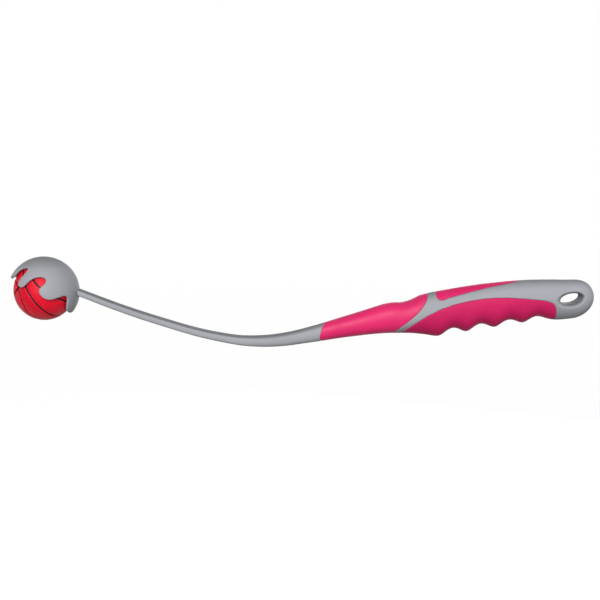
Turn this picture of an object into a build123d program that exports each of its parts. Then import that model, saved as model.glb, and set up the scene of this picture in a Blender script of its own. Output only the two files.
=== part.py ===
from build123d import *
import os
from math import cos, radians, sin, sqrt, tan

# Dog ball thrower: a long bent arm with a fingered cup that picks up and throws a
# rubber ball, and a handle with soft grips, finger grooves and a hanging eye.
# Frame, in millimetres: +X runs from the cup to the hanging eye, +Z is the side
# away from the finger grooves, Y = 0 is the mirror plane, and the origin is the
# middle of the hand grip.

# Driving sizes: ball
ball_diameter = 63.0
panel_thickness = 2.0
seam_width = 1.8
core_wall = 4.5

# Driving sizes: cup
ball_play = 2.0
ball_seat_gap = 0.3
cup_wall = 2.9
rim_round = 0.8
arm_reach = 473.5
cup_rise = 12.5
cup_pole_angle = 60.0
front_tongue_angle = 95.0
rear_tongue_angle = 98.5
rim_slack_share = 0.1

# Driving sizes: shaft
bend_drop = 41.7
blade_thickness = 7.3
blade_width = 14.5
neck_thickness = 18.8
neck_width = 18.0
tenon_length = 22.0
tenon_size = 10.0
tenon_clearance = 0.15

# Driving sizes: handle
handle_front = 184.5
handle_back = 106.5
handle_depth = 50.0
handle_width = 30.0
shaft_joint_place = 165.0
core_wall_handle = 3.2
grip_thickness = 1.8
core_lead = 12.0
cavity_front = 130.0
cavity_back = 50.0
cavity_steps = 16

# Driving sizes: finger grooves
groove_count = 4
groove_pitch = 29.9
groove_depth = 6.3
last_groove_depth = 4.8
first_groove_place = 43.8
groove_curve_share = 0.8
groove_steps = 4

# Driving sizes: rounded tail and hanging eye
tail_height = 3.5
tail_top_length = 18.6
tail_bottom_length = 27.5
tail_side_length = 22.0
tail_flat = 0.3
tail_angles = (0, 20, 38, 52, 64, 75, 90)
eye_place = 80.4
eye_height = 3.2
eye_half_length = 11.7
eye_half_height = 5.7
eye_tilt = 10.0
eye_flare = 8.0
eye_flare_depth = 8.0
eye_lip_share = 0.25

# One overrun for every cut that has to pass a surface
overrun = 2.0

# Seam pattern of the ball: the axis that the oval loops go round, the direction where
# the two seam rings cross, and how far the loops lie from their axis, in degrees
ball_axis_shares = (-0.82, 0.234, -0.522)
ball_crossing_shares = (-0.455, -0.819, 0.348)
loop_long_angle = 70.9
loop_short_angle = 52.2

# Near half of the cup's rim, in degrees: turn about the cup's pole from the middle of
# the front tongue to that of the rear one, then the angle down from the pole
rim_angles = [
    (0.0, front_tongue_angle), (8.0, front_tongue_angle), (13.5, 94.2), (18.5, 92.2),
    (22.5, 88.8), (24.5, 85.0), (25.2, 80.8), (26.8, 75.4), (29.4, 70.0), (33.4, 65.0),
    (38.4, 61.6), (43.5, 60.2), (47.3, 62.0), (49.2, 66.5), (49.5, 76.0), (49.5, 84.0),
    (52.0, 89.5), (57.0, 91.5), (62.0, 89.5), (65.0, 83.0), (67.0, 74.0),
    (71.5, 65.5), (79.0, 59.0), (86.5, 57.0), (92.0, 60.0), (92.5, 66.0),
    (90.0, 73.0), (90.0, 79.0), (93.5, 83.0), (98.5, 85.6), (103.5, 86.6),
    (108.5, 86.4), (113.5, 84.5), (119.0, 80.7), (125.0, 76.1), (130.5, 72.5),
    (136.0, 70.6), (140.6, 71.2), (143.7, 74.4), (145.5, 79.2), (147.5, 84.4),
    (150.1, 89.4), (154.2, 93.8), (160.0, 96.6), (167.5, 98.2),
    (175.0, rear_tongue_angle), (180.0, rear_tongue_angle),
]

# Shaft stations: place along the run from the cup's centre to the handle, height
# between the bend's lowest point and the cup's centre, growth of thickness and of
# width from blade to neck, and fullness of the section's corners
shaft_shares = [
    (0.096, 1.033, 0.00, 0.00, 0.86),
    (0.130, 0.967, 0.00, 0.00, 0.86),
    (0.200, 0.818, 0.02, 0.02, 0.86),
    (0.272, 0.670, 0.04, 0.05, 0.86),
    (0.344, 0.532, 0.06, 0.08, 0.85),
    (0.417, 0.404, 0.08, 0.11, 0.84),
    (0.490, 0.280, 0.10, 0.14, 0.83),
    (0.562, 0.170, 0.13, 0.20, 0.82),
    (0.635, 0.083, 0.17, 0.28, 0.80),
    (0.672, 0.046, 0.21, 0.34, 0.78),
    (0.708, 0.018, 0.26, 0.40, 0.76),
    (0.744, 0.004, 0.33, 0.47, 0.73),
    (0.780, 0.000, 0.40, 0.54, 0.70),
    (0.817, 0.006, 0.47, 0.61, 0.68),
    (0.853, 0.022, 0.55, 0.68, 0.66),
    (0.890, 0.049, 0.63, 0.76, 0.64),
    (0.927, 0.085, 0.72, 0.84, 0.62),
    (0.963, 0.124, 0.84, 0.92, 0.61),
]

# Handle stations: place from the grip's middle to the handle's front or back end,
# top and ridge line as shares of the depth, and share of the full width
handle_shares = [
    (-1.000, -0.470, -0.840, 0.600),
    (-0.894, -0.348, -0.780, 0.680),
    (-0.802, -0.245, -0.736, 0.760),
    (-0.705, -0.131, -0.696, 0.833),
    (-0.618, -0.036, -0.674, 0.881),
    (-0.588, -0.019, -0.671, 0.897),
    (-0.545, -0.014, -0.670, 0.920),
    (-0.500, 0.014, -0.672, 0.940),
    (-0.461, 0.072, -0.679, 0.960),
    (-0.428, 0.133, -0.691, 0.973),
    (-0.390, 0.173, -0.708, 0.987),
    (-0.325, 0.222, -0.740, 1.000),
    (-0.157, 0.328, -0.642, 1.000),
    (0.000, 0.401, -0.554, 0.980),
    (0.290, 0.452, -0.458, 0.933),
    (0.579, 0.461, -0.390, 0.880),
    (0.692, 0.457, -0.387, 0.853),
    (1.000, 0.452, -0.378, 0.800),
]
handle_fullness_share = 0.60
waist_share = 0.52

# Edges of the soft grips, seen from the side: place and height as handle shares
front_grip_front_shares = [
    (-0.930, -0.200), (-0.960, -0.414), (-0.982, -0.484), (-0.993, -0.590),
    (-1.002, -0.700), (-0.999, -0.790), (-0.990, -0.960),
]
front_grip_rear_shares = [
    (-0.374, 0.340), (-0.384, 0.182), (-0.394, 0.074), (-0.416, -0.068),
    (-0.450, -0.218), (-0.509, -0.414), (-0.569, -0.614), (-0.630, -0.820),
]
finger_grip_edge_shares = [
    (-0.585, -0.840), (-0.526, -0.633), (-0.477, -0.477), (-0.423, -0.341),
    (-0.363, -0.210), (-0.309, -0.119), (-0.244, -0.037), (-0.179, 0.026),
    (-0.114, 0.068), (-0.043, 0.099), (0.037, 0.110), (0.150, 0.104),
    (0.262, 0.088), (0.374, 0.067), (0.467, 0.044), (0.528, 0.014),
    (0.570, -0.036), (0.592, -0.110), (0.601, -0.200), (0.607, -0.358),
    (0.610, -0.560),
]
thumb_pad_edge_shares = [
    (-0.330, 0.400), (-0.336, 0.222), (-0.339, 0.140), (-0.331, 0.080),
    (-0.308, 0.059), (-0.280, 0.093), (-0.239, 0.136), (-0.174, 0.201),
    (-0.108, 0.260), (-0.043, 0.315), (0.047, 0.362), (0.159, 0.405),
    (0.290, 0.472),
]
thumb_pad_top_share = 0.60

# Sizes worked out from the driving ones
ball_radius = ball_diameter / 2
core_radius = ball_radius - panel_thickness
cup_inner_radius = ball_radius + ball_play
cup_outer_radius = cup_inner_radius + cup_wall
pole = Vector(cos(radians(cup_pole_angle)), 0, sin(radians(cup_pole_angle)))
front = Vector(-pole.Z, 0, pole.X)
near = Vector(0, -1, 0)
cup_centre = Vector(-arm_reach, 0, cup_rise)
ball_centre = cup_centre + pole * (ball_play - ball_seat_gap)


def smooth_value(rows, x, column):
    """One column of a table of stations at x, on a smooth curve through its rows."""
    last = len(rows) - 1
    i = max(k for k in range(last) if k == 0 or rows[k][0] <= x)

    def slope(k):
        low, high = max(k - 1, 0), min(k + 1, last)
        return (rows[high][column] - rows[low][column]) / (rows[high][0] - rows[low][0])

    run = rows[i + 1][0] - rows[i][0]
    t = (x - rows[i][0]) / run
    start, end = rows[i][column], rows[i + 1][column]
    rise = end - start
    bend = slope(i) * run * (1 - t) * (1 - t) * t - slope(i + 1) * run * t * t * (1 - t)
    return start + rise * t * t * (3 - 2 * t) + bend


def handle_place(share):
    """X of a place on the handle, front shares being negative."""
    return share * (handle_front if share < 0 else handle_back)


def envelope_stations():
    """Rows of x, top, ridge line, half width and fullness along the whole arm."""
    rows = []
    run = arm_reach - handle_front
    for place, height, growth, spread, fullness in shaft_shares:
        middle = -bend_drop + height * (cup_rise + bend_drop)
        half = (blade_thickness + growth * (neck_thickness - blade_thickness)) / 2
        half_width = (blade_width + spread * (neck_width - blade_width)) / 2
        rows.append((-arm_reach + place * run, middle + half, middle - half, half_width, fullness))
    for place, top, ridge, width in handle_shares:
        rows.append((handle_place(place), top * handle_depth, ridge * handle_depth,
                     width * handle_width / 2, handle_fullness_share))
    return rows


def groove_rise(x):
    """Height of the finger grooves above the ridge line."""
    first = -first_groove_place
    turn = (x - first) / groove_pitch
    if turn < -0.5 or turn > groove_count - 0.5:
        return 0
    wave = (1 + cos(radians(360 * turn))) / 2
    depth = groove_depth + (last_groove_depth - groove_depth) * turn / (groove_count - 1)
    return depth * wave ** groove_curve_share


def tail_share(x, length):
    """How much of its height or width the rounded tail still has at x."""
    into = (x - (handle_back - length)) / length
    return sqrt(1 - into * into) if into > 0 else 1


def section(rows, x, inset, groove_share):
    """Closed section of the arm across X, drawn in by an inset on all sides."""
    top, ridge, half_width, fullness = (smooth_value(rows, x, k) for k in (1, 2, 3, 4))
    waist = ridge + (top - ridge) * waist_share
    top = tail_height + (top - tail_height) * tail_share(x, tail_top_length)
    bottom = ridge + groove_rise(x) * groove_share
    bottom = tail_height + (bottom - tail_height) * tail_share(x, tail_bottom_length)
    waist = tail_height + (waist - tail_height) * tail_share(x, tail_side_length)
    half_width = half_width * tail_share(x, tail_side_length) - inset
    up, down = top - inset - waist, bottom + inset - waist
    edges = []
    for side, height in ((1, up), (-1, up), (-1, down), (1, down)):
        wide = Vector(0, side * half_width, 0)
        tall = Vector(0, 0, height)
        corner = [wide, wide + tall * fullness, wide * fullness + tall, tall]
        if side * height < 0:
            corner.reverse()
        edges.append(Bezier(*[point + Vector(x, 0, waist) for point in corner]))
    return Face(Wire(edges))


def arm_places(rows):
    """X of every section: the shaft's stations, then even steps along the handle."""
    places = [row[0] for row in rows if row[0] < -handle_front]
    groove_start = -first_groove_place - groove_pitch / 2
    for place, *_ in handle_shares:
        if handle_place(place) < groove_start:
            places.append(handle_place(place))
    for k in range(groove_count * groove_steps + 1):
        places.append(groove_start + k * groove_pitch / groove_steps)
    tail_start = handle_back - tail_bottom_length
    tail_run = tail_bottom_length - tail_flat
    for angle in tail_angles:
        places.append(tail_start + tail_run * sin(radians(angle)))
    return places


def arm_solid(rows, places, inset, groove_share):
    """Smooth solid through the sections at these places."""
    return loft([section(rows, x, inset, groove_share) for x in places])


def side_prism(outline):
    """Prism across the whole handle from an outline in the mirror plane."""
    return extrude(make_face(outline), amount=handle_width, dir=(0, 1, 0), both=True)


def side_points(shares):
    """Points in the mirror plane from handle shares."""
    return [Vector(handle_place(place), 0, height * handle_depth) for place, height in shares]


def front_grip_prism():
    front_points = side_points(front_grip_front_shares)
    rear_points = side_points(front_grip_rear_shares)
    return side_prism(Spline(front_points) + Line(front_points[-1], rear_points[-1])
                      + Spline(rear_points) + Line(rear_points[0], front_points[0]))


def finger_grip_prism():
    points = side_points(finger_grip_edge_shares)
    low = -handle_depth
    corners = [points[-1], Vector(points[-1].X, 0, low), Vector(points[0].X, 0, low), points[0]]
    return side_prism(Spline(points) + Polyline(corners))


def thumb_pad_prism():
    points = side_points(thumb_pad_edge_shares)
    high = thumb_pad_top_share * handle_depth
    corners = [points[-1], Vector(points[-1].X, 0, high), Vector(points[0].X, 0, high), points[0]]
    return side_prism(Spline(points) + Polyline(corners))


def hanging_eye():
    """Oval hole across the tail, flaring out at both faces."""
    mouth = handle_width / 2
    throat = mouth - eye_flare_depth
    lip = (mouth + throat) / 2
    lip_flare = eye_flare * eye_lip_share
    lips = [(-mouth, eye_flare), (-lip, lip_flare), (-throat, 0), (0, 0),
            (throat, 0), (lip, lip_flare), (mouth, eye_flare)]
    long_way = (cos(radians(eye_tilt)), 0, sin(radians(eye_tilt)))
    ovals = []
    for y, grown in lips:
        plane = Plane(origin=(eye_place, y, eye_height), x_dir=long_way, z_dir=(0, 1, 0))
        ovals.append(plane * Ellipse(eye_half_length + grown, eye_half_height + grown))
    return loft(ovals)


def make_arm():
    """Shaft, handle core and the three soft grips moulded over them."""
    rows = envelope_stations()
    places = arm_places(rows)
    outer = arm_solid(rows, places, 0, 1)
    core_places = [x for x in places if -handle_front - core_lead < x < eye_place]
    inner = arm_solid(rows, core_places, grip_thickness, 1)
    prisms = {
        "front_grip": front_grip_prism(),
        "thumb_pad": thumb_pad_prism(),
        "finger_grip": finger_grip_prism(),
    }
    grips = {}
    body = outer
    for name, prism in prisms.items():
        grips[name] = (outer & prism) - inner
        body = body - prism
    body = body + inner
    return body, grips


def half_space_box(x_low, x_high):
    """Box over the whole height and width of the arm between two X."""
    tall = 2 * (arm_reach + handle_back)
    box = Box(x_high - x_low, 2 * handle_width, tall)
    return Pos((x_low + x_high) / 2, 0, 0) * box


def arm_middle(x):
    """Middle of the arm's section at x."""
    rows = envelope_stations()
    top, ridge = (smooth_value(rows, x, k) for k in (1, 2))
    return Vector(x, 0, (top + ridge) / 2)


def tenon(clearance):
    """Square peg along the arm on the shaft's end, or its socket with a clearance."""
    root = arm_middle(-shaft_joint_place)
    along = (arm_middle(tenon_length - shaft_joint_place) - root).normalized()
    size = tenon_size + 2 * clearance
    length = overrun + tenon_length + clearance
    peg = Box(length, size, size, align=(Align.MIN, Align.CENTER, Align.CENTER))
    seat = Plane(origin=root - along * overrun, x_dir=along, z_dir=Vector(-along.Z, 0, along.X))
    return seat * peg


def handle_cavity():
    """Sealed hollow in the handle core, which keeps its walls even and the grip light."""
    rows = envelope_stations()
    deep_rows = [row[:2] + (row[2] + groove_depth,) + row[3:] for row in rows]
    inset = grip_thickness + core_wall_handle
    run = cavity_front + cavity_back
    places = [-cavity_front + run * k / cavity_steps for k in range(cavity_steps + 1)]
    return loft([section(deep_rows, x, inset, 0) for x in places])


def make_shaft(body):
    """Blade from the cup's outer face to the socket in the handle core."""
    shaft = body & half_space_box(-arm_reach, -shaft_joint_place)
    shaft = shaft - Pos(cup_centre) * Sphere(cup_outer_radius)
    return shaft + tenon(0)


def make_handle_core(body):
    """Hard core of the handle with its socket, hollow and hanging eye."""
    core = body & half_space_box(-shaft_joint_place, handle_back + overrun)
    return core - tenon(tenon_clearance) - handle_cavity() - hanging_eye()


def rim_curve(reach):
    """Closed curve of the rim's outline at one reach from the cup's centre."""
    near_points = []
    for turn, down in rim_angles:
        a, b = radians(turn), radians(down)
        direction = pole * cos(b) + (front * cos(a) + near * sin(a)) * sin(b)
        near_points.append(cup_centre + direction * reach)
    far_points = [Vector(p.X, -p.Y, p.Z) for p in reversed(near_points[1:-1])]
    return Spline(near_points + far_points, periodic=True)


def make_cup():
    """Spherical shell open towards the front, with fingers that reach past its middle."""
    # The spheres' own poles and seam lie in the gaps and the open side, off the shell
    shell = Plane(origin=cup_centre, x_dir=-pole, z_dir=near) * (
        Sphere(cup_outer_radius) - Sphere(cup_inner_radius))
    inner_curve = rim_curve(cup_inner_radius - overrun)
    outer_curve = rim_curve(cup_outer_radius + overrun)
    rim = Face.make_surface_from_curves(inner_curve.edge(), outer_curve.edge())
    cup = split(shell, bisect_by=rim, keep=Keep.BOTTOM)

    def on_rim(edge):
        reach = (edge @ 0.5 - cup_centre).length
        off_face = min(abs(reach - cup_outer_radius), abs(reach - cup_inner_radius))
        return off_face < rim_round * rim_slack_share

    return fillet(cup.edges().filter_by(on_rim), rim_round)


def ball_plane():
    """Frame of the ball's seams: x across one seam ring, y where the rings cross."""
    axis = Vector(*ball_axis_shares).normalized()
    crossing = Vector(*ball_crossing_shares)
    crossing = (crossing - axis * crossing.dot(axis)).normalized()
    return Plane(origin=ball_centre, x_dir=axis, z_dir=axis.cross(crossing))


def loop_cone(side, grown):
    """Oval cone from the ball's centre whose surface is one edge of a seam loop."""
    long_angle = radians(loop_long_angle) + grown / ball_radius
    short_angle = radians(loop_short_angle) + grown / ball_radius
    ovals = []
    for reach in (core_radius * cos(long_angle) / 2, ball_radius + overrun):
        plane = Plane(origin=(side * reach, 0, 0), x_dir=(0, 1, 0), z_dir=(1, 0, 0))
        ovals.append(plane * Ellipse(reach * tan(long_angle), reach * tan(short_angle)))
    return loft(ovals, ruled=True)


def make_panels():
    """Eight panels of the ball's cover, between the seams."""
    cover = Rot(0, 0, 90) * (Sphere(ball_radius) - Sphere(core_radius))
    half_seam = seam_width / 2
    size = ball_radius + overrun
    panels = []
    for x_side in (-1, 1):
        inside_loop = loop_cone(x_side, -half_seam)
        outside_loop = loop_cone(x_side, half_seam)
        for z_side in (-1, 1):
            corner = Pos(x_side * half_seam, 0, z_side * half_seam)
            quarter = corner * Box(size, 2 * size, size, align=(
                Align.MIN if x_side > 0 else Align.MAX,
                Align.CENTER,
                Align.MIN if z_side > 0 else Align.MAX,
            ))
            panels.append(cover & (quarter & inside_loop))
            panels.append(cover & (quarter - outside_loop))
    return [ball_plane() * panel for panel in panels]


def make_core_half(side):
    """Half of the ball's hollow core, joined to the other at a flat edge."""
    seams = ball_plane()
    dome = Sphere(core_radius, arc_size1=0, align=(Align.CENTER, Align.CENTER, Align.MIN))
    shell = dome - Sphere(core_radius - core_wall)
    return Plane(origin=ball_centre, x_dir=seams.y_dir, z_dir=seams.x_dir * side) * shell


def make_ball():
    """Core halves and cover panels of the ball, seated in the cup."""
    pieces = {
        "ball_core_half_1": make_core_half(1),
        "ball_core_half_2": make_core_half(-1),
    }
    for number, panel in enumerate(make_panels(), start=1):
        pieces[f"ball_panel_{number}"] = panel
    return pieces


def main():
    body, grips = make_arm()
    pieces = {
        "cup": make_cup(),
        "shaft": make_shaft(body),
        "handle_core": make_handle_core(body),
    }
    pieces.update(grips)
    pieces.update(make_ball())
    os.makedirs("parts", exist_ok=True)
    for name, piece in pieces.items():
        export_step(piece, f"parts/{name}.step")


if __name__ == "__main__":
    main()
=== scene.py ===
import math

import bmesh
import bpy
import numpy as np
from mathutils import Matrix, Vector
from mathutils.kdtree import KDTree


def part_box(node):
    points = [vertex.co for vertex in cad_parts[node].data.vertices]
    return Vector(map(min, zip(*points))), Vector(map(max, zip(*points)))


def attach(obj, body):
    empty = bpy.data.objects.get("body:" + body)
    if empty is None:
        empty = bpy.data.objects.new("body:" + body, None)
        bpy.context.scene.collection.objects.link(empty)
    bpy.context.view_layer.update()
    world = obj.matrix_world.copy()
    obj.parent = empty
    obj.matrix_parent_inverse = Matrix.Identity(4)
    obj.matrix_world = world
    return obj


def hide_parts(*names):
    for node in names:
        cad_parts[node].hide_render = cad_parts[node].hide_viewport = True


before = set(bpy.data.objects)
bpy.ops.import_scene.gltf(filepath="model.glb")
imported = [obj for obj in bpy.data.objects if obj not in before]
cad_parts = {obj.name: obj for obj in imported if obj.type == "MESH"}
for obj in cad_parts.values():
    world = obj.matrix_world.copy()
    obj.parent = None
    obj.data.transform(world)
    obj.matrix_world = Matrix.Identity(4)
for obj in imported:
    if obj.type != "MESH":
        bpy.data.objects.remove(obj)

# Dog ball thrower: looks of the bent arm, its soft grips, the fingered cup and the
# pebbled ball, each built as an even fine mesh over the solid that it stands for.
# Everything is in metres in the frame of the solids: +X from the cup to the hanging
# eye, +Z away from the finger grooves, Y = 0 the mirror plane.

MM = 0.001

# Camera of the photograph: focal length in image pixels, aim and viewing angles
IMAGE_SIZE = 600
FOCAL_PIXELS = 950
SENSOR_WIDTH = 36
CAMERA_AIM = Vector((-205.7, 0, 2.1)) * MM
CAMERA_DISTANCE = 1002.25 * MM
CAMERA_YAW = math.radians(1.5)
CAMERA_ELEVATION = math.radians(9)
CLIP_START = 0.01
CLIP_END = 100

# Lamps: name, place, width and watts
LAMPS = (
    ("key_lamp", (-0.45, -1.78, 0.72), 0.8, 36.5),
    ("fill_lamp", (0.9, -1.3, 0.1), 1.0, 3.5),
    ("back_lamp", (0.5, 1.7, 0.1), 1.4, 14),
)

# Room round the object: the world's light on it, and the floor's place, grey and glow
WORLD_LIGHT = 0.12
FLOOR_DROP = 0.62
FLOOR_SIZE = 14.0
FLOOR_GREY = 0.12
FLOOR_ROUGHNESS = 0.9
FLOOR_GLOW = 0.92

# Fine meshes: size of a voxel, rounds of smoothing, and share of the triangles kept
ARM_MESH = (0.40 * MM, 14, 0.35)
CUP_MESH = (0.45 * MM, 8, 0.5)
COVER_MESH = (0.40 * MM, 9, 1)
CORE_MESH = (0.50 * MM, 9, 0.3)
SMOOTHING = 0.5
WELD = 0.002 * MM

# Pebbles of the ball's cover. Their feet go below its surface by the sunk share of their
# height. They fade out below the surface between the two depths, shallow to deep.
PEBBLE_PITCH = 1.7 * MM
PEBBLE_JITTER = PEBBLE_PITCH / 7
PEBBLE_RADIUS = 0.95 * MM
PEBBLE_HEIGHT = 0.22 * MM
PEBBLE_SUNK_SHARE = 0.75
PEBBLE_FADE_DEPTH = 0.1 * MM
PEBBLE_END_DEPTH = 0.5 * MM
PEBBLE_SEED = 11
GOLDEN_TURN = math.pi * (1 + math.sqrt(5))

# Depths below the ball's surface where a seam's wall is dark and where it is still red
SEAM_DARK = 1.1 * MM
SEAM_LIT = 0.28 * MM

# Colours, in sRGB levels of 0 to 255
GREY = (163, 165, 170)
HANDLE_GREY = (166, 168, 174)
PINK = (224, 34, 104)
# The finger grip's pink: the grips' pink made darker as painted shade
FINGER_SHADED_PINK = (211, 30, 97)
RED = (238, 11, 45)
SEAM_BLACK = (52, 8, 14)
DUSTY_PINK = (240, 150, 180)
SHEEN_PINK = (255, 170, 200)
# Painted highlight on the ball's pebble crests
CREST_HIGHLIGHT_PINK = (255, 70, 100)

# Painted shade on tops and undersides: upward lean where it starts, lean where it is full, share
NO_SHADE = (0.0, 1.0, 0.0)
CUP_TOP_SHADE = (0.70, 0.97, 0.40)
SHAFT_TOP_SHADE = (0.50, 0.90, 0.60)
HANDLE_TOP_SHADE = (0.40, 0.90, 0.42)
HANDLE_UNDERSIDE_SHADE = (0.05, -0.45, 0.52)
FRONT_UNDERSIDE_SHADE = (-0.30, -0.85, 0.55)
THUMB_UNDERSIDE_SHADE = (0.05, -0.65, 0.60)
FINGER_UNDERSIDE_SHADE = (0.15, -0.60, 0.56)

# Painted shade in the hanging eye: an oval twice as long as high round the eye's middle,
# which it fills, and the distances from the mirror plane where it starts and is full
EYE_STRETCH = Vector((1, 0, 2))
EYE_CENTRE = Vector((80.4, 0, 3.2)) * EYE_STRETCH * MM
EYE_REACH = 13 * MM
EYE_FADE = 1 * MM
EYE_UNSHADED_Y = 10.5 * MM
EYE_SHADED_Y = 7.5 * MM
EYE_SHADE_SHARE = 0.55

# Parts of a noise's values that are stretched to a full range
NOISE_MIDDLE = (0.35, 0.65)
NOISE_WIDE = (0.3, 0.7)

# Places of the colour sockets of a Mix node
MIX_SHARE, MIX_FIRST, MIX_SECOND = 0, 6, 7
MIX_RESULT = 2


def linear(colour, gain=1.0):
    """Linear colour with alpha from an sRGB one of 0 to 255."""
    values = []
    for level in colour:
        share = level / 255
        value = share / 12.92 if share <= 0.04045 else ((share + 0.055) / 1.055) ** 2.4
        values.append(min(1.0, gain * value))
    return (*values, 1.0)


# Materials. Scales of noise are per metre, and a gain multiplies the material's colour.


class Nodes:
    """A material's node tree, with short calls that add and join nodes."""

    def __init__(self, name):
        self.material = bpy.data.materials.new(name)
        self.material.use_nodes = True
        self.tree = self.material.node_tree
        self.shader = self.tree.nodes["Principled BSDF"]
        self.place = self.add("ShaderNodeTexCoord").outputs["Object"]

    def add(self, kind, inputs=None, **settings):
        node = self.tree.nodes.new(kind)
        for key, value in settings.items():
            setattr(node, key, value)
        for key, value in (inputs or {}).items():
            self.put(value, node.inputs[key])
        return node

    def put(self, value, socket):
        if isinstance(value, bpy.types.NodeSocket):
            self.tree.links.new(value, socket)
        else:
            socket.default_value = value

    def give(self, **values):
        """Gives the material's shader its inputs, with _ for each space in a name."""
        for name, value in values.items():
            self.put(value, self.shader.inputs[name.replace("_", " ")])

    def noise(self, scale, detail=2.0, roughness=0.5):
        inputs = {"Vector": self.place, "Scale": scale, "Detail": detail, "Roughness": roughness}
        return self.add("ShaderNodeTexNoise", inputs).outputs["Fac"]

    def spread(self, value, low, high, to_low=0.0, to_high=1.0):
        inputs = {"Value": value, "From Min": low, "From Max": high,
                  "To Min": to_low, "To Max": to_high}
        return self.add("ShaderNodeMapRange", inputs).outputs["Result"]

    def part(self, value, share):
        """A value of 0 to 1 made weaker, 0 to a share."""
        return self.spread(value, 0, 1, 0, share)

    def product(self, first, second):
        return self.add("ShaderNodeMath", {0: first, 1: second}, operation="MULTIPLY").outputs[0]

    def distance(self, first, second):
        node = self.add("ShaderNodeVectorMath", {0: first, 1: second}, operation="DISTANCE")
        return node.outputs["Value"]

    def blend(self, share, first, second):
        node = self.add("ShaderNodeMix", data_type="RGBA")
        self.put(share, node.inputs[MIX_SHARE])
        self.put(first, node.inputs[MIX_FIRST])
        self.put(second, node.inputs[MIX_SECOND])
        return node.outputs[MIX_RESULT]

    def clouds(self, colour, gains, scale, detail):
        """The colour, drifting between two gains in soft clouds."""
        share = self.spread(self.noise(scale, detail), *NOISE_MIDDLE)
        return self.blend(share, linear(colour, gains[0]), linear(colour, gains[1]))

    def uneven(self, limits, noise):
        """A value that wanders between two limits with a noise."""
        return self.spread(noise, *NOISE_WIDE, *limits)

    def bump(self, height, depth, under=None):
        inputs = {"Height": height, "Distance": depth}
        if under is not None:
            inputs["Normal"] = under
        return self.add("ShaderNodeBump", inputs).outputs["Normal"]

    def facing(self, low, high):
        """0 to 1 as the surface's upward lean goes from low to high."""
        lean = self.add("ShaderNodeTexCoord").outputs["Normal"]
        return self.spread(self.add("ShaderNodeSeparateXYZ", {0: lean}).outputs["Z"], low, high)

    def eye_depth(self):
        """0 on the outside to 1 on the wall of the hanging eye."""
        flat = self.add("ShaderNodeVectorMath", {0: self.place, 1: EYE_STRETCH},
                        operation="MULTIPLY")
        reach = self.distance(flat.outputs[0], EYE_CENTRE)
        across = self.add("ShaderNodeSeparateXYZ", {0: self.place}).outputs["Y"]
        depth = self.add("ShaderNodeMath", {0: across}, operation="ABSOLUTE").outputs[0]
        near = self.spread(reach, EYE_REACH + EYE_FADE, EYE_REACH)
        deep = self.spread(depth, EYE_UNSHADED_Y, EYE_SHADED_Y)
        return self.product(near, deep)

    def edges(self, low, high):
        """0 to 1 as the surface goes from a hollow or flat to a sharper outer edge."""
        pointiness = self.add("ShaderNodeNewGeometry").outputs["Pointiness"]
        return self.spread(pointiness, low, high)


PLASTIC_GAINS = (0.95, 1.04)
PLASTIC_CLOUD_SCALE = 14
SPECKLE_SCALE = 1500
SPECKLE_GAIN = 0.72
SPECKLE_SHARE = 0.10
WORN_EDGES = (0.53, 0.60)
WORN_SCALE = 90
WORN_NOISE = (0.42, 0.62)
WORN_GAIN = 1.3
WORN_SHARE = 0.35
# Painted shade: gain on tops and undersides, then gain in the hanging eye
PLASTIC_SHADE_GAIN = 0.3
EYE_SHADE_GAIN = 0.2
PLASTIC_ROUGHNESS = (0.50, 0.64)
SCUFF_SCALE = 55
SCUFF_ROUGHNESS = 0.65
PLASTIC_GRAIN_SCALE = 2600
PLASTIC_GRAIN_DEPTH = 0.018 * MM
SWELL_SCALE = 120
SWELL_DEPTH = 0.05 * MM
PLASTIC_SHINE = 0.12


def moulded_plastic(name, colour, tops, undersides):
    """Satin moulded plastic: flow clouds, fine grain, paler edges, dust, and painted shade."""
    m = Nodes(name)
    base = m.clouds(colour, PLASTIC_GAINS, PLASTIC_CLOUD_SCALE, detail=3)
    speckle = m.spread(m.noise(SPECKLE_SCALE, detail=1), *NOISE_MIDDLE)
    base = m.blend(m.part(speckle, SPECKLE_SHARE), base, linear(colour, SPECKLE_GAIN))
    rubbed = m.spread(m.noise(WORN_SCALE, detail=4), *WORN_NOISE)
    worn = m.product(m.edges(*WORN_EDGES), rubbed)
    base = m.blend(m.part(worn, WORN_SHARE), base, linear(colour, WORN_GAIN))
    # Painted shade: surfaces darkened by how far they lean up or down
    for low, high, share in (tops, undersides):
        painted_shade = m.part(m.facing(low, high), share)
        base = m.blend(painted_shade, base, linear(colour, PLASTIC_SHADE_GAIN))
    # Painted shade on the wall of the hanging eye
    base = m.blend(m.part(m.eye_depth(), EYE_SHADE_SHARE), base, linear(colour, EYE_SHADE_GAIN))
    scuffs = m.noise(SCUFF_SCALE, detail=5, roughness=SCUFF_ROUGHNESS)
    grain = m.bump(m.noise(PLASTIC_GRAIN_SCALE, detail=2), PLASTIC_GRAIN_DEPTH)
    swell = m.bump(m.noise(SWELL_SCALE, detail=1), SWELL_DEPTH, under=grain)
    m.give(Base_Color=base, Roughness=m.uneven(PLASTIC_ROUGHNESS, scuffs), Normal=swell,
           Specular_IOR_Level=PLASTIC_SHINE)
    return m.material


SOFT_GAINS = (0.93, 1.05)
SOFT_CLOUD_SCALE = 20
DUST_SCALE = 700
DUST_NOISE = (0.56, 0.72)
DUST_ROUGHNESS = 0.7
DUST_SHARE = 0.10
# Painted shade in hollows: their edge range, gain and share
SOFT_HOLLOWS = (0.44, 0.50)
SOFT_HOLLOW_SHADE_GAIN = 0.6
SOFT_HOLLOW_SHADE_SHARE = 0.25
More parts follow.
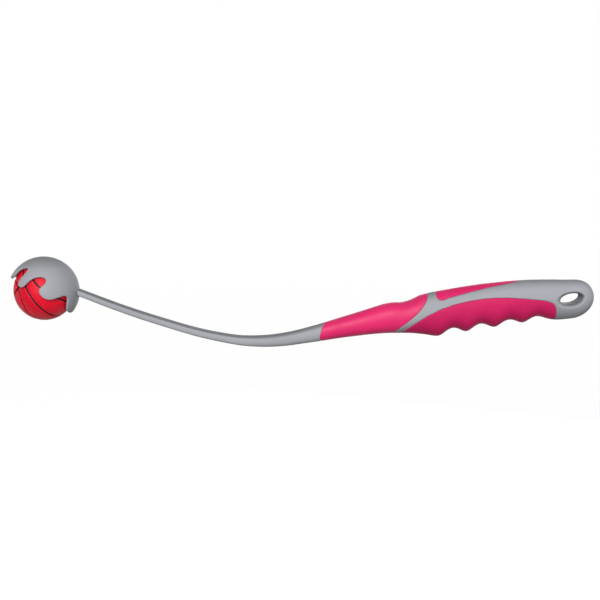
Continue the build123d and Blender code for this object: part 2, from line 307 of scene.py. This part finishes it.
# Gain of the painted shade on undersides
SOFT_SHADE_GAIN = 0.4
SOFT_ROUGHNESS = (0.46, 0.58)
SOFT_MOTTLE_SCALE = 70
SOFT_GRAIN_SCALE = 2200
SOFT_GRAIN_DEPTH = 0.03 * MM
SHEEN_ROUGHNESS = 0.5

# Shine and sheen of each grip
FRONT_GLOSS = (0.32, 0.08)
THUMB_GLOSS = (0.22, 0.04)
FINGER_GLOSS = (0.16, 0.02)


def soft_rubber(name, colour, undersides, gloss):
    """Soft-touch rubber: velvety, slightly mottled, dusty, fine matt grain, painted shade."""
    m = Nodes(name)
    base = m.clouds(colour, SOFT_GAINS, SOFT_CLOUD_SCALE, detail=3)
    dust = m.spread(m.noise(DUST_SCALE, detail=4, roughness=DUST_ROUGHNESS), *DUST_NOISE)
    base = m.blend(m.part(dust, DUST_SHARE), base, linear(DUSTY_PINK))
    # Painted shade in hollows
    hollow = m.spread(m.edges(*SOFT_HOLLOWS), 0, 1, SOFT_HOLLOW_SHADE_SHARE, 0)
    base = m.blend(hollow, base, linear(colour, SOFT_HOLLOW_SHADE_GAIN))
    # Painted shade on undersides
    low, high, share = undersides
    base = m.blend(m.part(m.facing(low, high), share), base, linear(colour, SOFT_SHADE_GAIN))
    mottle = m.noise(SOFT_MOTTLE_SCALE, detail=4)
    grain = m.bump(m.noise(SOFT_GRAIN_SCALE, detail=3), SOFT_GRAIN_DEPTH)
    shine, sheen = gloss
    m.give(Base_Color=base, Roughness=m.uneven(SOFT_ROUGHNESS, mottle), Normal=grain,
           Specular_IOR_Level=shine, Sheen_Weight=sheen, Sheen_Roughness=SHEEN_ROUGHNESS,
           Sheen_Tint=linear(SHEEN_PINK))
    return m.material


BALL_GAINS = (0.88, 1.08)
BALL_CLOUD_SCALE = 30
CREST_EDGES = (0.47, 0.55)
# Painted shade in the valleys between the pebbles: gain and share
VALLEY_SHADE_GAIN = 0.45
VALLEY_SHADE_SHARE = 0.35
# Painted highlight on the pebble crests: where it starts and its share
CREST_HIGHLIGHT_START = 0.5
CREST_HIGHLIGHT_SHARE = 0.30
BALL_ROUGHNESS = (0.38, 0.52)
BALL_MOTTLE_SCALE = 150
BALL_GRAIN_SCALE = 3200
BALL_GRAIN_DEPTH = 0.03 * MM
BALL_SHINE = 0.22


def ball_rubber(name, colour, centre, radius):
    """Pebbled rubber: painted highlight and shade on pebbles, dark seam walls, uneven shine."""
    m = Nodes(name)
    base = m.clouds(colour, BALL_GAINS, BALL_CLOUD_SCALE, detail=4)
    crest = m.edges(*CREST_EDGES)
    # Painted shade in the valleys between the pebbles
    valley_shade = m.spread(crest, 0, 1, VALLEY_SHADE_SHARE, 0)
    base = m.blend(valley_shade, base, linear(colour, VALLEY_SHADE_GAIN))
    # Painted highlight on the pebble crests
    crest_highlight = m.spread(crest, CREST_HIGHLIGHT_START, 1, 0, CREST_HIGHLIGHT_SHARE)
    base = m.blend(crest_highlight, base, linear(CREST_HIGHLIGHT_PINK))
    reach = m.distance(m.place, centre)
    lit = m.spread(reach, radius - SEAM_DARK, radius - SEAM_LIT)
    base = m.blend(lit, linear(SEAM_BLACK), base)
    mottle = m.noise(BALL_MOTTLE_SCALE, detail=4)
    grain = m.bump(m.noise(BALL_GRAIN_SCALE, detail=2), BALL_GRAIN_DEPTH)
    m.give(Base_Color=base, Roughness=m.uneven(BALL_ROUGHNESS, mottle), Normal=grain,
           Specular_IOR_Level=BALL_SHINE)
    return m.material


CORE_GAINS = (0.8, 1.3)
CORE_CLOUD_SCALE = 60
CORE_ROUGHNESS = (0.6, 0.8)
CORE_MOTTLE_SCALE = 300
CORE_GRAIN_SCALE = 1800
CORE_GRAIN_DEPTH = 0.05 * MM


def core_rubber(name, colour):
    """Dark plain rubber of the core, seen only at the bottom of the seams."""
    m = Nodes(name)
    base = m.clouds(colour, CORE_GAINS, CORE_CLOUD_SCALE, detail=4)
    grain = m.bump(m.noise(CORE_GRAIN_SCALE, detail=3), CORE_GRAIN_DEPTH)
    mottle = m.noise(CORE_MOTTLE_SCALE)
    m.give(Base_Color=base, Roughness=m.uneven(CORE_ROUGHNESS, mottle), Normal=grain)
    return m.material


# Meshes


def applied(piece):
    """Puts the piece's modifiers into its mesh."""
    graph = bpy.context.evaluated_depsgraph_get()
    mesh = bpy.data.meshes.new_from_object(piece.evaluated_get(graph))
    piece.modifiers.clear()
    piece.data = mesh


def outer_shell(mesh):
    """Welds an imported solid's points and drops its sealed inner hollow."""
    work = bmesh.new()
    work.from_mesh(mesh)
    bmesh.ops.remove_doubles(work, verts=work.verts, dist=WELD)
    unseen = set(work.verts)
    shells = []
    while unseen:
        shell = [unseen.pop()]
        for vert in shell:
            for edge in vert.link_edges:
                other = edge.other_vert(vert)
                if other in unseen:
                    unseen.remove(other)
                    shell.append(other)
        shells.append(shell)

    def reach(shell):
        return max(v.co.x for v in shell) - min(v.co.x for v in shell)

    widest = max(shells, key=reach)
    for shell in shells:
        if shell is not widest:
            bmesh.ops.delete(work, geom=shell, context="VERTS")
    work.to_mesh(mesh)
    work.free()


def fine_piece(node, name, grid):
    """Even fine mesh over a solid, with its sharp edges eased, thinned to a share."""
    voxel, rounds, kept = grid
    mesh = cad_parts[node].data.copy()
    mesh.materials.clear()
    outer_shell(mesh)
    piece = bpy.data.objects.new(name, mesh)
    bpy.context.scene.collection.objects.link(piece)
    even = piece.modifiers.new("even", "REMESH")
    even.mode = "VOXEL"
    even.voxel_size = voxel
    ease = piece.modifiers.new("ease", "SMOOTH")
    ease.factor = SMOOTHING
    ease.iterations = rounds
    if kept < 1:
        thin = piece.modifiers.new("thin", "DECIMATE")
        thin.ratio = kept
    applied(piece)
    return piece


def dress(piece, body, node, material):
    """Gives a piece its finish and puts it in the place of a CAD node."""
    piece.data.materials.clear()
    piece.data.materials.append(material)
    piece.data.polygons.foreach_set("use_smooth", [True] * len(piece.data.polygons))
    piece.data.update()
    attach(piece, body)
    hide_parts(node)


# Ball


def pebble_tree(radius):
    """Evenly scattered, jittered places over a sphere, one for each pebble."""
    random = np.random.default_rng(PEBBLE_SEED)
    count = int(4 * math.pi * radius ** 2 / PEBBLE_PITCH ** 2)
    step = np.arange(count) + 0.5
    polar = np.arccos(1 - 2 * step / count)
    turn = GOLDEN_TURN * step
    across = np.sin(polar)
    points = np.stack([np.cos(turn) * across, np.sin(turn) * across, np.cos(polar)], 1)
    points = points * radius + random.normal(0, PEBBLE_JITTER, points.shape)
    points = points / np.linalg.norm(points, axis=1)[:, None] * radius
    tree = KDTree(count)
    for number, point in enumerate(points):
        tree.insert(point, number)
    tree.balance()
    return tree


def add_pebbles(mesh, centre, radius, tree):
    """Raises a pebble over each scattered place on the outside of a cover panel."""
    points = np.empty(len(mesh.vertices) * 3)
    mesh.vertices.foreach_get("co", points)
    points = points.reshape(-1, 3)
    away = points - centre
    reach = np.linalg.norm(away, axis=1)
    height = reach - radius + PEBBLE_END_DEPTH
    outside = np.clip(height / (PEBBLE_END_DEPTH - PEBBLE_FADE_DEPTH), 0, 1)
    for number in np.nonzero(outside)[0]:
        unit = away[number] / reach[number]
        distance = tree.find(unit * radius)[2]
        dome = max(0.0, 1 - (distance / PEBBLE_RADIUS) ** 2)
        lift = PEBBLE_HEIGHT * (dome - PEBBLE_SUNK_SHARE) * outside[number]
        points[number] += unit * lift
    mesh.vertices.foreach_set("co", points.ravel())
    mesh.update()


def make_ball():
    panels = sorted(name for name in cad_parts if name.startswith("ball_panel_"))
    corners = [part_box(name) for name in panels]
    low = np.min([corner[0] for corner in corners], axis=0)
    high = np.max([corner[1] for corner in corners], axis=0)
    centre = (low + high) / 2
    radius = float(np.max(high - low)) / 2
    cover_material = ball_rubber("red_ball_rubber", RED, centre, radius)
    core_material = core_rubber("seam_rubber", SEAM_BLACK)
    tree = pebble_tree(radius)
    for name in panels:
        piece = fine_piece(name, name.replace("panel", "cover"), COVER_MESH)
        add_pebbles(piece.data, centre, radius, tree)
        dress(piece, "ball", name, cover_material)
    for name in ("ball_core_half_1", "ball_core_half_2"):
        piece = fine_piece(name, name.replace("half", "shell"), CORE_MESH)
        dress(piece, "ball", name, core_material)


# Thrower


def make_thrower():
    pieces = (
        ("cup", "cup_shell", "cup", CUP_MESH,
         moulded_plastic("cup_plastic", GREY, CUP_TOP_SHADE, NO_SHADE)),
        ("shaft", "shaft_blade", "shaft", ARM_MESH,
         moulded_plastic("shaft_plastic", GREY, SHAFT_TOP_SHADE, NO_SHADE)),
        ("handle_core", "handle_body", "handle", ARM_MESH,
         moulded_plastic("handle_plastic", HANDLE_GREY, HANDLE_TOP_SHADE, HANDLE_UNDERSIDE_SHADE)),
        ("front_grip", "front_soft_grip", "grip", ARM_MESH,
         soft_rubber("front_rubber", PINK, FRONT_UNDERSIDE_SHADE, FRONT_GLOSS)),
        ("thumb_pad", "thumb_soft_pad", "grip", ARM_MESH,
         soft_rubber("thumb_rubber", PINK, THUMB_UNDERSIDE_SHADE, THUMB_GLOSS)),
        ("finger_grip", "finger_soft_grip", "grip", ARM_MESH,
         soft_rubber("finger_rubber", FINGER_SHADED_PINK, FINGER_UNDERSIDE_SHADE, FINGER_GLOSS)),
    )
    for node, name, slot, grid, material in pieces:
        piece = fine_piece(node, name, grid)
        dress(piece, "thrower", node, material)


# Room, light and camera


def put_in_scene(name, data, matrix=Matrix()):
    thing = bpy.data.objects.new(name, data)
    thing.matrix_world = matrix
    bpy.context.scene.collection.objects.link(thing)
    return thing


def aimed(place):
    """Place and turn of a camera or lamp that looks at the middle of the object."""
    turn = (CAMERA_AIM - Vector(place)).to_track_quat("-Z", "Y").to_matrix().to_4x4()
    return Matrix.Translation(place) @ turn


def make_camera():
    forward = Vector((
        math.sin(CAMERA_YAW) * math.cos(CAMERA_ELEVATION),
        math.cos(CAMERA_YAW) * math.cos(CAMERA_ELEVATION),
        -math.sin(CAMERA_ELEVATION),
    ))
    data = bpy.data.cameras.new("photo_camera")
    data.sensor_width = SENSOR_WIDTH
    data.lens = FOCAL_PIXELS / IMAGE_SIZE * SENSOR_WIDTH
    data.clip_start = CLIP_START
    data.clip_end = CLIP_END
    place = CAMERA_AIM - forward * CAMERA_DISTANCE
    bpy.context.scene.camera = put_in_scene("photo_camera", data, aimed(place))


def make_lamp(name, place, size, watts):
    """Large square lamp aimed at the middle of the object."""
    data = bpy.data.lights.new(name, "AREA")
    data.shape = "SQUARE"
    data.size = size
    data.energy = watts
    put_in_scene(name, data, aimed(place))


def seen_directly(tree):
    """1 for rays that show the background itself: camera, glossy and transmission."""
    path = tree.nodes.new("ShaderNodeLightPath")
    total = path.outputs["Is Camera Ray"]
    for name in ("Is Glossy Ray", "Is Transmission Ray"):
        add = tree.nodes.new("ShaderNodeMath")
        add.operation = "MAXIMUM"
        tree.links.new(total, add.inputs[0])
        tree.links.new(path.outputs[name], add.inputs[1])
        total = add.outputs[0]
    return total


def make_world():
    world = bpy.data.worlds.new("studio")
    world.use_nodes = True
    bpy.context.scene.world = world
    tree = world.node_tree
    background = tree.nodes["Background"]
    background.inputs["Color"].default_value = (1, 1, 1, 1)
    strength = tree.nodes.new("ShaderNodeMapRange")
    strength.inputs["To Min"].default_value = WORLD_LIGHT
    strength.inputs["To Max"].default_value = 1.0
    tree.links.new(seen_directly(tree), strength.inputs["Value"])
    tree.links.new(strength.outputs["Result"], background.inputs["Strength"])


def make_floor():
    mesh = bpy.data.meshes.new("floor")
    half = FLOOR_SIZE / 2
    corners = [(x * half, y * half, -FLOOR_DROP) for x, y in ((-1, -1), (1, -1), (1, 1), (-1, 1))]
    mesh.from_pydata(corners, [], [(0, 1, 2, 3)])
    floor = put_in_scene("floor", mesh)
    material = bpy.data.materials.new("pale_floor")
    material.use_nodes = True
    tree = material.node_tree
    shader = tree.nodes["Principled BSDF"]
    shader.inputs["Base Color"].default_value = (FLOOR_GREY, FLOOR_GREY, FLOOR_GREY, 1)
    shader.inputs["Roughness"].default_value = FLOOR_ROUGHNESS
    shader.inputs["Emission Color"].default_value = (1, 1, 1, 1)
    strength = tree.nodes.new("ShaderNodeMath")
    strength.operation = "MULTIPLY"
    strength.inputs[1].default_value = FLOOR_GLOW
    tree.links.new(seen_directly(tree), strength.inputs[0])
    tree.links.new(strength.outputs[0], shader.inputs["Emission Strength"])
    mesh.materials.append(material)


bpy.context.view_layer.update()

make_thrower()
make_ball()

make_camera()
make_world()
for lamp in LAMPS:
    make_lamp(*lamp)
make_floor()

bpy.context.scene.view_settings.view_transform = "Standard"
